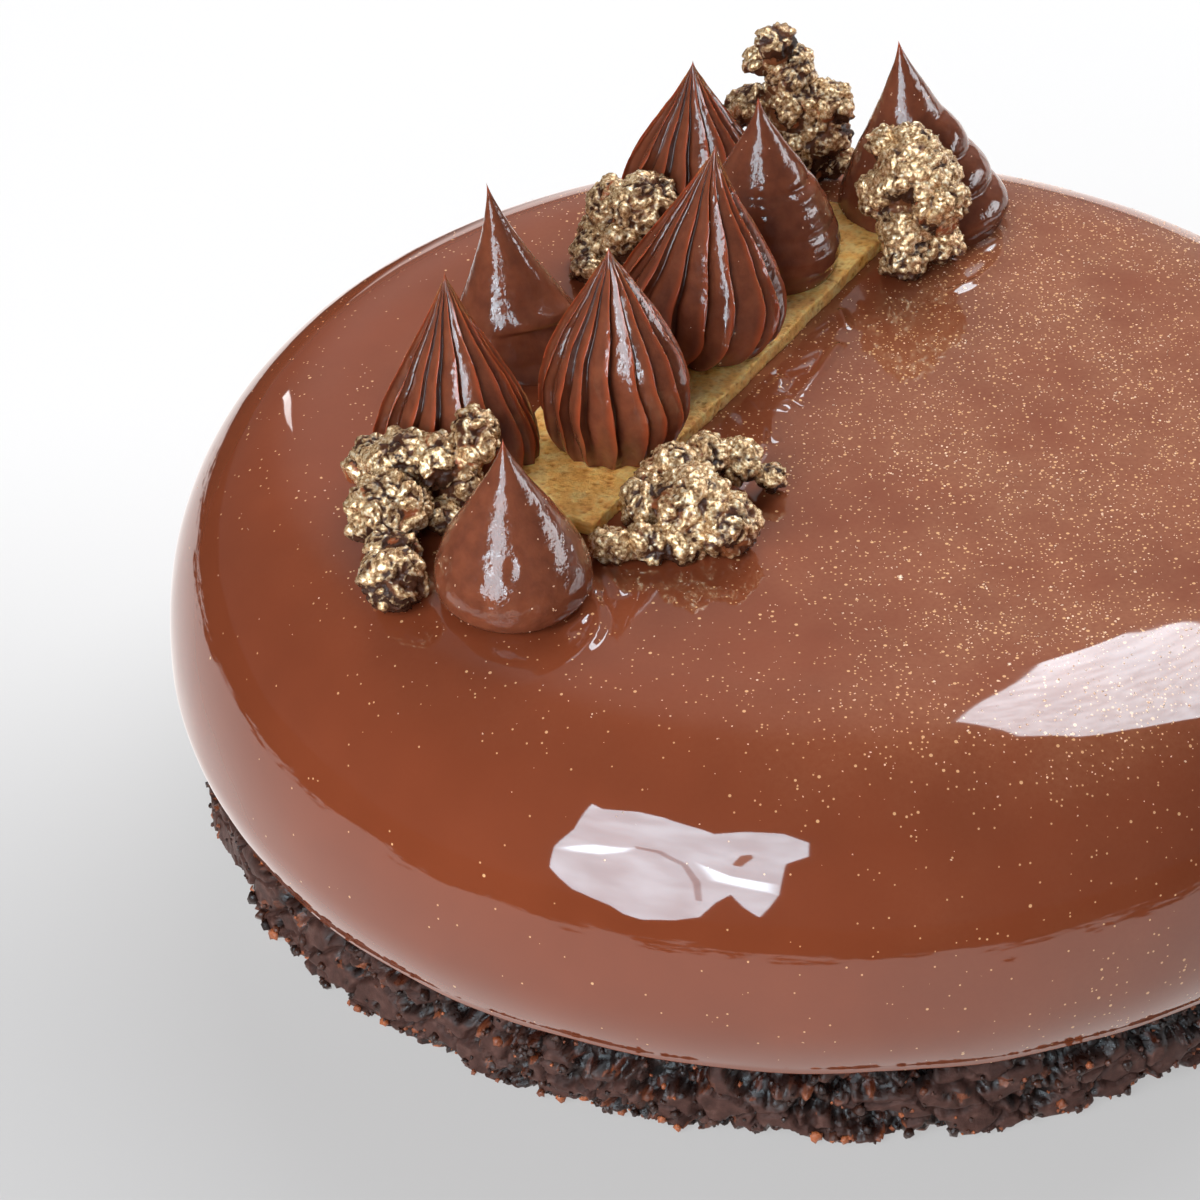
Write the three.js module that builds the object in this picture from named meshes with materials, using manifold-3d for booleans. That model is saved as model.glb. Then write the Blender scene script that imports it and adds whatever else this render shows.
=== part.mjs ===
// A round hazelnut mousse cake under a mirror glaze. It stands on a dark crumb base and
// carries a flat biscuit strip, eight piped chocolate kisses and five gilded crumble clusters.
// Millimetres, +Z up, origin at the middle of the underside, the side with the lone smooth
// kiss towards -Y.
import * as THREE from 'three';
import { ParametricGeometry } from 'three/addons/geometries/ParametricGeometry.js';
import { ImprovedNoise } from 'three/addons/math/ImprovedNoise.js';
import { mergeVertices } from 'three/addons/utils/BufferGeometryUtils.js';
import Module from 'manifold-3d';

// The cake: everything else is placed from these.
const CAKE_RADIUS = 90;
const CAKE_TOP = 53.2;
const BASE_HEIGHT = 11.7;
const BASE_RADIUS = 86.4;
const BELLY_HEIGHT = 22;
const SHOULDER_RUN = 24;
const LIP_RADIUS = 87.3;
const LIP_UNDERCUT = 1.4;
const LIP_RISE = 1;
const CAKE_SEGMENTS = 84;
const SHOULDER_STEPS = 4;

// The crumb base's side: how far its coarse and fine lumps stand in or out.
const BASE_SEGMENTS = 98;
const BASE_EDGE_ROUND = 1.3;
const BASE_ROWS = 4;
const BASE_LUMP = 7;
const BASE_LUMP_DEPTH = 1.7;
const BASE_GRAIN = 2.9;
const BASE_GRAIN_DEPTH = 1.1;
const BASE_SEED = 3.37;

// The biscuit strip, given by its near right corner and its heading from +Y towards +X.
const STRIP_CORNER = new THREE.Vector2(-29.2, -31.4);
const STRIP_HEADING = THREE.MathUtils.degToRad(26.7);
const STRIP_LENGTH = 89.5;
const STRIP_WIDTH = 20.4;
const STRIP_THICKNESS = 2.2;
const STRIP_STEPS = 24;
const STRIP_WAVER = 0.3;
const STRIP_WAVER_GRAIN = 6;
const STRIP_SEED = 11.3;
const STRIP_TOP = CAKE_TOP + STRIP_THICKNESS;

// The kisses. A flank is (t + foot)^belly * (1 - t^bullet)^taper, t running from foot to tip.
// One that stands on the glaze is kept clear of the strip's edge.
const KISS_ROWS = 10;
const KISS_ROW_CROWDING = 1.35;
const SMOOTH_SEGMENTS = 24;
const RIDGE_COUNT = 16;
const RIDGE_DEPTH = 1.35;
const RIDGE_SIDES = 3;
const RIDGE_SHAPE = [1, 0.3, 0];
const RIDGE_FADE = 0.12;
const LEAN_POWER = 1.25;
const FLANK_SAMPLES = 60;
const FLARE_SPREAD = 90;

const KISSES = [
  { name: 'kiss_front_smooth', x: -38.4, y: -44.7, floor: CAKE_TOP, radius: 10, height: 23.7,
    lean: -0.7, flank: { foot: 0.08, belly: 0.41, bullet: 1, taper: 1.51 } },
  { name: 'kiss_left_ridged', x: -48.2, y: -13.7, floor: CAKE_TOP, radius: 11, height: 29,
    lean: -0.4, flank: { foot: 0.21, belly: 0.41, bullet: 1, taper: 1.44 },
    ridged: true, sway: 0.12 },
  { name: 'kiss_back_left_smooth', x: -41.9, y: 15.8, floor: CAKE_TOP, radius: 10.6, height: 25.7,
    lean: -3.7, flank: { foot: 0.17, belly: 0.09, bullet: 1, taper: 1.39 },
    flare: { towards: -5, reach: 1.2, below: 0.5 } },
  { name: 'kiss_middle_ridged', x: -27.3, y: -11, floor: STRIP_TOP, radius: 9.8, height: 29.1,
    lean: -0.3, flank: { foot: 0.21, belly: 0.82, bullet: 1, taper: 1.39 },
    ridged: true, sway: -0.1 },
  { name: 'kiss_right_ridged', x: -17.7, y: 14.7, floor: STRIP_TOP, radius: 12, height: 30.1,
    lean: 3.1, flank: { foot: 0.03, belly: 0.32, bullet: 1, taper: 1.46 },
    ridged: true, sway: 0.35 },
  { name: 'kiss_back_ridged', x: -18.8, y: 53, floor: CAKE_TOP, radius: 10.5, height: 25.1,
    lean: -0.2, flank: { foot: 0.05, belly: 0.4, bullet: 1, taper: 1.48 },
    ridged: true, sway: 0.15 },
  { name: 'kiss_right_smooth', x: -7.7, y: 35, floor: STRIP_TOP, radius: 10, height: 26.7,
    lean: -1.7, flank: { foot: 0.12, belly: 0.19, bullet: 1.7, taper: 1.6 },
    folds: { towards: -35, spread: 70, count: 2, depth: 0.3, from: 0.08, to: 0.52 } },
  { name: 'kiss_far_smooth', x: 13.9, y: 54, floor: CAKE_TOP, radius: 12, height: 27.8,
    lean: -3.8, flank: { foot: 0.07, belly: 0.13, bullet: 1, taper: 1.27 },
    folds: { towards: -10, spread: 80, count: 3, depth: 0.8, from: 0.12, to: 0.68 } },
];

// The crumble clusters: each lobe is [x, y, height of its middle over the cake's top, radius].
const GAP = 0.3;
const CRAG_GRAIN = 3.1;
const CRAG_DEPTH = 0.28;
const LOBE_DETAIL = 1;
const CRAG_TOLERANCE = 0.6;
const CLUSTERS = [
  { name: 'crumble_left', seed: 1.7, lobes: [
    [-58.1, -22.5, 5.2, 3.6], [-54, -25.8, 8, 4.1], [-55.1, -32.7, 4.8, 5.3],
    [-54.2, -40.1, 3.4, 3.4], [-53.6, -46.3, 3.4, 4.4], [-48.8, -27.1, 8.6, 3.9],
    [-44.5, -25.7, 11.4, 3.5], [-46.7, -27, 6.4, 3.4], [-48.7, -30.6, 2.6, 2.6],
  ] },
  { name: 'crumble_right_front', seed: 5.1, lobes: [
    [-16.7, -30.6, 5, 5.4], [-21.7, -29, 3.6, 4.2], [-26.6, -35.3, 1.6, 2.6],
    [-21.4, -35.4, 1.9, 2.8], [-17.5, -35.2, 1.8, 2.8], [-11.8, -33.1, 3.4, 4.3],
    [-19.3, -24, 6.5, 3.4], [-15.1, -20.9, 5.6, 3.3], [-10.9, -19.3, 4, 3.2],
    [-6.6, -20, 2.2, 2.2],
  ] },
  { name: 'crumble_middle_left', seed: 8.9, lobes: [
    [-26.2, 40.5, 8.5, 4.6], [-30.6, 42.2, 7, 4], [-31.8, 41.4, 4.2, 3.3],
    [-28.8, 39.5, 4, 4.2], [-32.8, 38.2, 2.4, 3.2], [-33.4, 34.5, 1.6, 2.7], [-23.2, 44, 8, 3],
  ] },
  { name: 'crumble_back', seed: 12.3, lobes: [
    [-7.3, 62.7, 23, 3], [-9.7, 63.9, 19.5, 2.1], [-5.3, 65, 17, 4], [0.3, 63.7, 12.5, 3.5],
    [-3.8, 64.3, 12, 4.6], [-0.6, 63.5, 8, 4.3], [-10.4, 66.1, 11, 3.6], [-13.4, 67.6, 9, 2.3],
    [1.6, 64.2, 3, 2.6], [-4, 65, 5, 5.8],
  ] },
  { name: 'crumble_right', seed: 15.8, lobes: [
    [12.1, 43.3, 17.5, 3], [8.4, 44.6, 16, 2.7], [12.2, 40.7, 14, 5.2], [15.9, 42.6, 13, 3.2],
    [15.5, 39.3, 9.5, 4.4], [8.5, 41.2, 10, 3.5], [11.4, 38.3, 6, 4.1], [16.4, 39.7, 3.6, 3],
    [11.4, 35.5, 2.4, 3.2],
  ] },
];

// The finishes: colour, roughness and how metallic.
const CRUNCH = { color: 0x3b2721, roughness: 0.75, metalness: 0 };
const GLAZE = { color: 0x8f4a34, roughness: 0.12, metalness: 0 };
const BISCUIT = { color: 0xb98e4c, roughness: 0.85, metalness: 0 };
const GANACHE = { color: 0x683a2e, roughness: 0.3, metalness: 0 };
const GILDED = { color: 0xa58a58, roughness: 0.4, metalness: 0.5 };

const perlin = new ImprovedNoise();
const wasm = await Module();
wasm.setup();

/** Smooth repeatable unevenness from about -1 to 1, with lumps about one grain wide. */
function unevenness(point, grain, seed) {
  return perlin.noise(point.x / grain + seed, point.y / grain + seed, point.z / grain + seed);
}

/** Moves every vertex of a geometry to where moved(point) puts it. */
function reshape(geometry, moved) {
  const positions = geometry.getAttribute('position');
  const point = new THREE.Vector3();
  for (let index = 0; index < positions.count; index += 1) {
    point.fromBufferAttribute(positions, index);
    moved(point);
    positions.setXYZ(index, point.x, point.y, point.z);
  }
  return geometry;
}

/** Turns a profile of (radius, height) points about +Z. */
function turned(profile, segments) {
  return new THREE.LatheGeometry(profile, segments).rotateX(Math.PI / 2);
}

/** A closed geometry as a solid that can be joined and cut. */
function toSolid(geometry) {
  const bare = geometry.clone();
  bare.deleteAttribute('normal');
  bare.deleteAttribute('uv');
  const merged = mergeVertices(bare);
  const triangles = [];
  for (let start = 0; start < merged.index.count; start += 3) {
    const [a, b, c] = [0, 1, 2].map((corner) => merged.index.getX(start + corner));
    if (a !== b && b !== c && c !== a) {
      triangles.push(a, b, c);
    }
  }
  return new wasm.Manifold(new wasm.Mesh({
    numProp: 3,
    vertProperties: new Float32Array(merged.getAttribute('position').array),
    triVerts: new Uint32Array(triangles),
  }));
}

/** A joined or cut solid as a geometry. */
function toGeometry(solid) {
  const mesh = solid.getMesh();
  const geometry = new THREE.BufferGeometry();
  geometry.setAttribute('position', new THREE.BufferAttribute(mesh.vertProperties, mesh.numProp));
  geometry.setIndex(new THREE.BufferAttribute(mesh.triVerts, 1));
  geometry.computeVertexNormals();
  return geometry;
}

/** A named mesh in its own finish. */
function piece(name, geometry, finish) {
  const mesh = new THREE.Mesh(geometry, new THREE.MeshStandardMaterial(finish));
  mesh.name = name;
  return mesh;
}

/** The glazed mousse: small lip at the bottom, belly, elliptical shoulder and a flat top. */
function glazedMousse() {
  const flatRadius = CAKE_RADIUS - SHOULDER_RUN;
  const shoulderRise = CAKE_TOP - BELLY_HEIGHT;
  const lipTop = BASE_HEIGHT + LIP_RISE;
  const profile = new THREE.Path();
  profile.moveTo(0, BASE_HEIGHT);
  profile.lineTo(LIP_RADIUS - LIP_UNDERCUT, BASE_HEIGHT);
  profile.lineTo(LIP_RADIUS, lipTop);
  profile.quadraticCurveTo(CAKE_RADIUS, (lipTop + BELLY_HEIGHT) / 2, CAKE_RADIUS, BELLY_HEIGHT);
  profile.absellipse(flatRadius, BELLY_HEIGHT, SHOULDER_RUN, shoulderRise, 0, Math.PI / 2, false);
  profile.lineTo(0, CAKE_TOP);
  return turned(profile.getPoints(SHOULDER_STEPS), CAKE_SEGMENTS);
}

/** The crumb base: a flat disc whose side is pressed crumb, lumpy at two sizes. */
function crunchBase() {
  const profile = [new THREE.Vector2(0, 0), new THREE.Vector2(BASE_RADIUS - BASE_EDGE_ROUND, 0)];
  for (let row = 1; row <= BASE_ROWS; row += 1) {
    profile.push(new THREE.Vector2(BASE_RADIUS, (BASE_HEIGHT * row) / (BASE_ROWS + 1)));
  }
  profile.push(new THREE.Vector2(BASE_RADIUS - BASE_EDGE_ROUND, BASE_HEIGHT));
  profile.push(new THREE.Vector2(0, BASE_HEIGHT));
  return reshape(turned(profile, BASE_SEGMENTS), (point) => {
    const radius = Math.hypot(point.x, point.y);
    if (radius > BASE_RADIUS / 2) {
      const lumps = BASE_LUMP_DEPTH * unevenness(point, BASE_LUMP, BASE_SEED);
      const grains = BASE_GRAIN_DEPTH * unevenness(point, BASE_GRAIN, BASE_SEED);
      const scale = (radius + lumps + grains) / radius;
      point.x *= scale;
      point.y *= scale;
    }
  });
}

/** The biscuit strip: a long flat slab with wavering cut sides, grown by a margin all round. */
function biscuitStrip(margin = 0) {
  const along = new THREE.Vector2(Math.sin(STRIP_HEADING), Math.cos(STRIP_HEADING));
  const across = new THREE.Vector2(-along.y, along.x);
  const sidePoint = (distance, offset) => {
    const place = new THREE.Vector3(distance, offset, 0);
    const waver = STRIP_WAVER * unevenness(place, STRIP_WAVER_GRAIN, STRIP_SEED);
    return STRIP_CORNER.clone()
      .addScaledVector(along, distance)
      .addScaledVector(across, offset + waver);
  };
  const outline = [];
  for (let step = 0; step <= STRIP_STEPS; step += 1) {
    const distance = -margin + ((STRIP_LENGTH + 2 * margin) * step) / STRIP_STEPS;
    outline.push(sidePoint(distance, -margin));
    outline.unshift(sidePoint(distance, STRIP_WIDTH + margin));
  }
  const slab = new THREE.ExtrudeGeometry(new THREE.Shape(outline), {
    depth: STRIP_THICKNESS + margin,
    bevelEnabled: false,
    steps: 1,
  });
  return slab.translate(0, 0, CAKE_TOP);
}

/** A kiss's flank at height share t, before it is scaled so that the widest place is 1. */
function flankAt(flank, t) {
  return (t + flank.foot) ** flank.belly * (1 - t ** flank.bullet) ** flank.taper;
}

/** The widest place of a flank. */
function flankPeak(flank) {
  const heights = Array.from({ length: FLANK_SAMPLES }, (_, step) => step / FLANK_SAMPLES);
  return Math.max(...heights.map((t) => flankAt(flank, t)));
}

/** How fully a direction faces towards an angle in degrees, fading to 0 at the spread. */
function facing(angle, towards, spread) {
  const turn = angle - THREE.MathUtils.degToRad(towards);
  const away = Math.abs(Math.atan2(Math.sin(turn), Math.cos(turn)));
  const share = Math.min(1, away / THREE.MathUtils.degToRad(spread));
  return Math.cos((share * Math.PI) / 2) ** 2;
}

/** How far the skirt flares out on one side, most at the foot. */
function flareAt(flare, angle, t) {
  const nearFoot = Math.max(0, 1 - t / flare.below);
  return flare.reach * facing(angle, flare.towards, FLARE_SPREAD) * nearFoot ** 2;
}

/** How far the stacked coils of a smooth kiss stand out on one side. */
function foldAt(folds, angle, t) {
  const share = (t - folds.from) / (folds.to - folds.from);
  if (share <= 0 || share >= 1) {
    return 0;
  }
  return folds.depth * facing(angle, folds.towards, folds.spread)
    * Math.abs(Math.sin(Math.PI * folds.count * share));
}

/** A piped kiss on its flat foot, smooth or with sharp pleats that meet at the tip. */
function pipedKiss(kiss, margin = 0) {
  const segments = kiss.ridged ? RIDGE_COUNT * RIDGE_SIDES : SMOOTH_SEGMENTS;
  const radius = (kiss.radius + margin) / flankPeak(kiss.flank);
  const height = kiss.height + 2 * margin;
  return new ParametricGeometry((u, v, target) => {
    const share = Math.max(0, (v * KISS_ROWS - 1) / (KISS_ROWS - 1));
    const t = Math.min(1, share ** KISS_ROW_CROWDING);
    const onAxis = v < 1 / (2 * KISS_ROWS) || t === 1;
    const angle = 2 * Math.PI * u + (kiss.sway ?? 0) * Math.sin(Math.PI * t);
    let reach = radius * flankAt(kiss.flank, t);
    if (kiss.ridged) {
      const side = Math.round(u * segments) % RIDGE_SIDES;
      const fade = Math.min(1, (1 - t) / RIDGE_FADE);
      reach -= RIDGE_DEPTH * RIDGE_SHAPE[side] * fade * (reach / kiss.radius);
    }
    reach += kiss.flare ? flareAt(kiss.flare, angle, t) : 0;
    reach += kiss.folds ? foldAt(kiss.folds, angle, t) : 0;
    reach = onAxis ? 0 : reach;
    const drift = t ** LEAN_POWER;
    target.set(
      kiss.x + kiss.lean * drift + reach * Math.cos(angle),
      kiss.y + reach * Math.sin(angle),
      kiss.floor - margin + height * t,
    );
  }, segments, KISS_ROWS);
}

/** One craggy lump of crumble. */
function crumbleLobe([x, y, rise, radius], seed) {
  const middle = new THREE.Vector3(x, y, CAKE_TOP + rise);
  return reshape(new THREE.IcosahedronGeometry(radius, LOBE_DETAIL), (point) => {
    const place = point.clone().add(middle);
    point.multiplyScalar(1 + CRAG_DEPTH * unevenness(place, CRAG_GRAIN, seed));
    point.add(middle);
  });
}

/** Everything below the cake's top, as a block to cut with. */
function belowTheTop() {
  const side = 2 * (CAKE_RADIUS + CAKE_TOP);
  return toSolid(new THREE.BoxGeometry(side, side, side).translate(0, 0, CAKE_TOP - side / 2));
}

/** A kiss on its own ground, clear of the strip if it stands on the glaze beside it. */
function placedKiss(kiss, strip) {
  const cream = pipedKiss(kiss);
  return kiss.floor === CAKE_TOP ? toGeometry(toSolid(cream).subtract(strip)) : cream;
}

/** The room a kiss takes up, pleats filled in, with a gap round it. */
function kissRoom(kiss) {
  return toSolid(pipedKiss({ ...kiss, ridged: false }, GAP));
}

/** A crumble cluster: its lobes joined, less everything that stands beside or below it. */
function crumbleCluster(cluster, neighbours) {
  const lobes = cluster.lobes.map((lobe) => toSolid(crumbleLobe(lobe, cluster.seed)));
  const heap = lobes.reduce((joined, lobe) => joined.add(lobe)).simplify(CRAG_TOLERANCE);
  return toGeometry(neighbours.reduce((left, neighbour) => left.subtract(neighbour), heap));
}

const strip = toSolid(biscuitStrip(GAP));
const neighbours = [belowTheTop(), strip, ...KISSES.map(kissRoom)];
const cake = new THREE.Group();
cake.name = 'hazelnut_mousse_cake';
cake.add(piece('crunch_base', crunchBase(), CRUNCH));
cake.add(piece('glazed_mousse', glazedMousse(), GLAZE));
cake.add(piece('biscuit_strip', biscuitStrip(), BISCUIT));
for (const kiss of KISSES) {
  cake.add(piece(kiss.name, placedKiss(kiss, strip), GANACHE));
}
for (const cluster of CLUSTERS) {
  cake.add(piece(cluster.name, crumbleCluster(cluster, neighbours), GILDED));
}

export default cake;
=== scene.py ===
import math

import bpy
import numpy as np
from mathutils import Matrix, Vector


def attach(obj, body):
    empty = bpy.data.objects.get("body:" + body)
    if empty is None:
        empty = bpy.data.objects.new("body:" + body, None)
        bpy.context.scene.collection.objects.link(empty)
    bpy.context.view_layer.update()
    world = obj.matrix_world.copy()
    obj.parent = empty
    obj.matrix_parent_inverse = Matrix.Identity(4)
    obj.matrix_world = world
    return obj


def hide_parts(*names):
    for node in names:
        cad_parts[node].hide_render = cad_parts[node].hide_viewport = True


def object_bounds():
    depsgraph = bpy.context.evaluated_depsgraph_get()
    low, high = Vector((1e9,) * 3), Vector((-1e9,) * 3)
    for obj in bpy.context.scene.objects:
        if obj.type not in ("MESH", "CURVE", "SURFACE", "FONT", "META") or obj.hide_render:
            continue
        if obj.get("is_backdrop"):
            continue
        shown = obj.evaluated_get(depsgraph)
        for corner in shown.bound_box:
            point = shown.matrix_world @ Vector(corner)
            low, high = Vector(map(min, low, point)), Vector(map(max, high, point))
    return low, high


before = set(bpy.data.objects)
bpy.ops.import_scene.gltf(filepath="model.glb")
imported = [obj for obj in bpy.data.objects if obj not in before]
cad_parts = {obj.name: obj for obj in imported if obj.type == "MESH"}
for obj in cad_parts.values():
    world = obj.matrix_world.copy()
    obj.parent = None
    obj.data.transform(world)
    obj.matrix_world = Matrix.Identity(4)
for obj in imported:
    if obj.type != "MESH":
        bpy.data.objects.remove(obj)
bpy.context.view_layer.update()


# ------------------------------------------------------------------ crunch base
# The crunch base: crushed dark biscuit and puffed grains bound with chocolate. It is pressed
# in a ring, so its side is smooth skin where the spoon pushed it home and broken, craggy crumb
# with gaps where it didn't. It is set down before the mousse goes on.
MM = 0.001
BASE_RADIUS = 86.4
BASE_HEIGHT = 11.7
BASE_EDGE = 1.1
DEEPEST_GAP = 3.4
PROUDEST_LUMP = 1.9
CHUNK = 7.0
GRAIN = 1.5
SMALL_GRAIN = 0.72
BASE_AROUND = 1640
BASE_ROWS = 38


def lattice_number(cell, salt):
    """A repeatable number from 0 to 1 for a lattice cell: its whole numbers times large odd
    ones, mixed bit by bit."""
    mixed = cell[..., 0] * 73856093 ^ cell[..., 1] * 19349663 ^ cell[..., 2] * 83492791
    mixed = (mixed ^ salt * 2654435761) & 0x7FFFFFFF
    mixed = ((mixed ^ mixed >> 13) * 1274126177) & 0x7FFFFFFF
    mixed = ((mixed ^ mixed >> 15) * 668265263) & 0x7FFFFFFF
    return (mixed ^ mixed >> 16 & 0xFFFFF) % 1048576 / 1048575


def unevenness(points, grain, salt):
    """Smooth noise from about -1 to 1 with lumps one grain wide: at the eight corners of a
    lattice cell a random slope times the way from that corner, blended by 6t^5-15t^4+10t^3."""
    place = points / grain + 0.37 * salt
    low = np.floor(place).astype(np.int64)
    part = place - low
    fade = part ** 3 * (part * (part * 6 - 15) + 10)
    total = np.zeros(points.shape[:-1])
    for corner in np.ndindex(2, 2, 2):
        step = np.array(corner)
        cell = low + step
        slope = np.stack([lattice_number(cell, 3 * salt + axis) for axis in range(3)], -1) * 2 - 1
        share = np.where(step == 1, fade, 1 - fade).prod(-1)
        total += share * (slope * (part - step)).sum(-1)
    return total * 1.5


def pebbles(points, grain, salt):
    """Scattered seeds, one to a lattice cell one grain wide: how far the nearest and the second
    nearest are, in grains, and a number from 0 to 1 that belongs to the nearest."""
    place = points / grain
    low = np.floor(place).astype(np.int64)
    near = np.full(points.shape[:-1], 9.0)
    second = near.copy()
    owner = np.zeros_like(near)
    for step in np.ndindex(3, 3, 3):
        cell = low + np.array(step) - 1
        seed = cell + np.stack([lattice_number(cell, 7 * salt + axis) for axis in range(3)], -1)
        gap = np.sqrt(((place - seed) ** 2).sum(-1))
        closer = gap < near
        second = np.where(closer, near, np.minimum(second, gap))
        owner = np.where(closer, lattice_number(cell, 7 * salt + 5), owner)
        near = np.where(closer, gap, near)
    return near, second, owner


def smooth_step(low, high, value):
    """0 below low, 1 above high, and 3t^2-2t^3 between them."""
    share = np.clip((value - low) / (high - low), 0, 1)
    return share * share * (3 - 2 * share)


def bell(away, width):
    """A bell over a distance, 1 at its middle: e to minus the square of their ratio."""
    return np.exp(-(away / width) ** 2)


def round_off(share, size):
    """How far a rounded edge draws in, by a quarter circle, at a share from 0 at the edge to 1
    where the round ends."""
    return size * (1 - np.sqrt(1 - (1 - np.clip(share, 0, 1)) ** 2))


def circle(turn):
    """Points of a circle of radius 1 at a turn in radians."""
    return np.stack([np.cos(turn), np.sin(turn)], -1)


def unit(ways):
    """Each way divided by its length."""
    return ways / np.linalg.norm(ways, axis=-1)[..., None]


def add_piece(name, points, face_groups, slot, material, node=None, **numbers):
    """A smooth mesh from points in millimetres and arrays of faces, riding on the root body in
    place of a node. Each named number is kept as a point attribute for the material."""
    mesh = bpy.data.meshes.new(name)
    corners = np.concatenate([faces.ravel() for faces in face_groups])
    sizes = np.concatenate([np.full(len(faces), faces.shape[1]) for faces in face_groups])
    mesh.vertices.add(len(points))
    mesh.vertices.foreach_set("co", (points * MM).astype(np.float32).ravel())
    mesh.loops.add(len(corners))
    mesh.loops.foreach_set("vertex_index", corners.astype(np.int32))
    mesh.polygons.add(len(sizes))
    mesh.polygons.foreach_set("loop_start", (np.cumsum(sizes) - sizes).astype(np.int32))
    mesh.update(calc_edges=True)
    mesh.validate()
    mesh.shade_smooth()
    for word, values in numbers.items():
        attribute = mesh.attributes.new(word, "FLOAT", "POINT")
        attribute.data.foreach_set("value", values.astype(np.float32).ravel())
    mesh.materials.append(material)
    piece = bpy.data.objects.new(name, mesh)
    bpy.context.scene.collection.objects.link(piece)
    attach(piece, "root")
    if node:
        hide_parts(node)


def ring_faces(rows, around):
    """Quads between closed rings of points from the foot up, with a fan to one last point below
    the first ring and one above the last."""
    index = np.arange(rows * around).reshape(rows, around)
    beside = np.roll(index, -1, axis=1)
    walls = np.stack([index[:-1], beside[:-1], beside[1:], index[1:]], -1).reshape(-1, 4)
    foot = np.stack([np.full(around, rows * around), beside[0], index[0]], -1)
    top = np.stack([np.full(around, rows * around + 1), index[-1], beside[-1]], -1)
    return [walls, foot, top]


def closed_rings(rings):
    """The points of the rings, then the middle of the first ring and of the last."""
    return np.concatenate([rings.reshape(-1, 3), [rings[0].mean(0), rings[-1].mean(0)]])


def with_ends(values, tip=0.0):
    """A number for each point of closed rings: those given, 0 for the foot and the tip's."""
    return np.append(values.ravel(), [0.0, tip])


def copied_rings(points, rows, around):
    """Points and faces of many small closed shapes, one to each row of the points: its rings,
    its foot and its top."""
    start = points.shape[1] * np.arange(len(points))[:, None, None]
    faces = [(group + start).reshape(-1, group.shape[-1]) for group in ring_faces(rows, around)]
    return points.reshape(-1, 3), faces


def paint(red, green, blue):
    """A colour as seen on a screen, 0 to 255, as the linear colour that a shader takes."""
    screen = np.array([red, green, blue]) / 255
    linear = np.where(screen <= 0.04045, screen / 12.92, ((screen + 0.055) / 1.055) ** 2.4)
    return (*linear, 1.0)


def grey(shade):
    """A grey whose red, green and blue are that number."""
    return (shade, shade, shade, 1.0)


def new_material(name):
    """A node material: the material, its node tree and its surface shader."""
    material = bpy.data.materials.new(name)
    material.use_nodes = True
    return material, material.node_tree, material.node_tree.nodes["Principled BSDF"]


def set_sockets(tree, node, values):
    """Links each socket given for an input of a node, and sets anything else on the input."""
    for name, value in values.items():
        if isinstance(value, bpy.types.NodeSocket):
            tree.links.new(value, node.inputs[name])
        else:
            node.inputs[name].default_value = value


def add_node(tree, kind, inputs=None, **settings):
    """A node with its settings and inputs."""
    made = tree.nodes.new(kind)
    for setting, value in settings.items():
        setattr(made, setting, value)
    set_sockets(tree, made, inputs or {})
    return made


def add_ramp(tree, share, *stops):
    """A ramp over a share from 0 to 1: each stop is its place and then a screen colour, or one
    plain number such as a roughness."""
    ramp = add_node(tree, "ShaderNodeValToRGB", {"Fac": share})
    while len(ramp.color_ramp.elements) < len(stops):
        ramp.color_ramp.elements.new(0.5)
    for element, (place, *shade) in zip(ramp.color_ramp.elements, stops):
        element.position = place
        element.color = paint(*shade) if len(shade) == 3 else grey(*shade)
    return ramp.outputs["Color"]


def add_mix(tree, share, under, over, blend="MIX"):
    """One colour laid over another by a share from 0 to 1."""
    inputs = {0: share, 6: under, 7: over}
    return add_node(tree, "ShaderNodeMix", inputs, data_type="RGBA", blend_type=blend).outputs[2]


def add_math(tree, operation, *values):
    """A sum, product or the like of numbers and sockets."""
    return add_node(tree, "ShaderNodeMath", dict(enumerate(values)), operation=operation).outputs[0]


def add_range(tree, value, low, high, least=0.0, most=1.0, kind="SMOOTHSTEP"):
    """A number carried from low and high to least and most, by a smooth step or evenly."""
    inputs = {"Value": value, "From Min": low, "From Max": high, "To Min": least, "To Max": most}
    return add_node(tree, "ShaderNodeMapRange", inputs, interpolation_type=kind).outputs[0]


def add_number(tree, word):
    """The point attribute of that name."""
    return add_node(tree, "ShaderNodeAttribute", attribute_name=word).outputs["Fac"]


def add_place(tree):
    """The place on the piece, in metres from the middle of the cake's foot."""
    return add_node(tree, "ShaderNodeTexCoord").outputs["Object"]


def add_noise(tree, size, detail=3.0, roughness=0.55):
    """Noise in the object's own coordinates, its lumps that many millimetres wide."""
    inputs = {
        "Vector": add_place(tree), "Scale": 1 / (size * MM), "Detail": detail, "Roughness": roughness}
    return add_node(tree, "ShaderNodeTexNoise", inputs).outputs["Fac"]


def add_bump(tree, height, strength, depth):
    """The surface's normal, roughened by a height of so many millimetres."""
    inputs = {"Height": height, "Strength": strength, "Distance": depth * MM}
    return add_node(tree, "ShaderNodeBump", inputs).outputs["Normal"]


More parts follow.
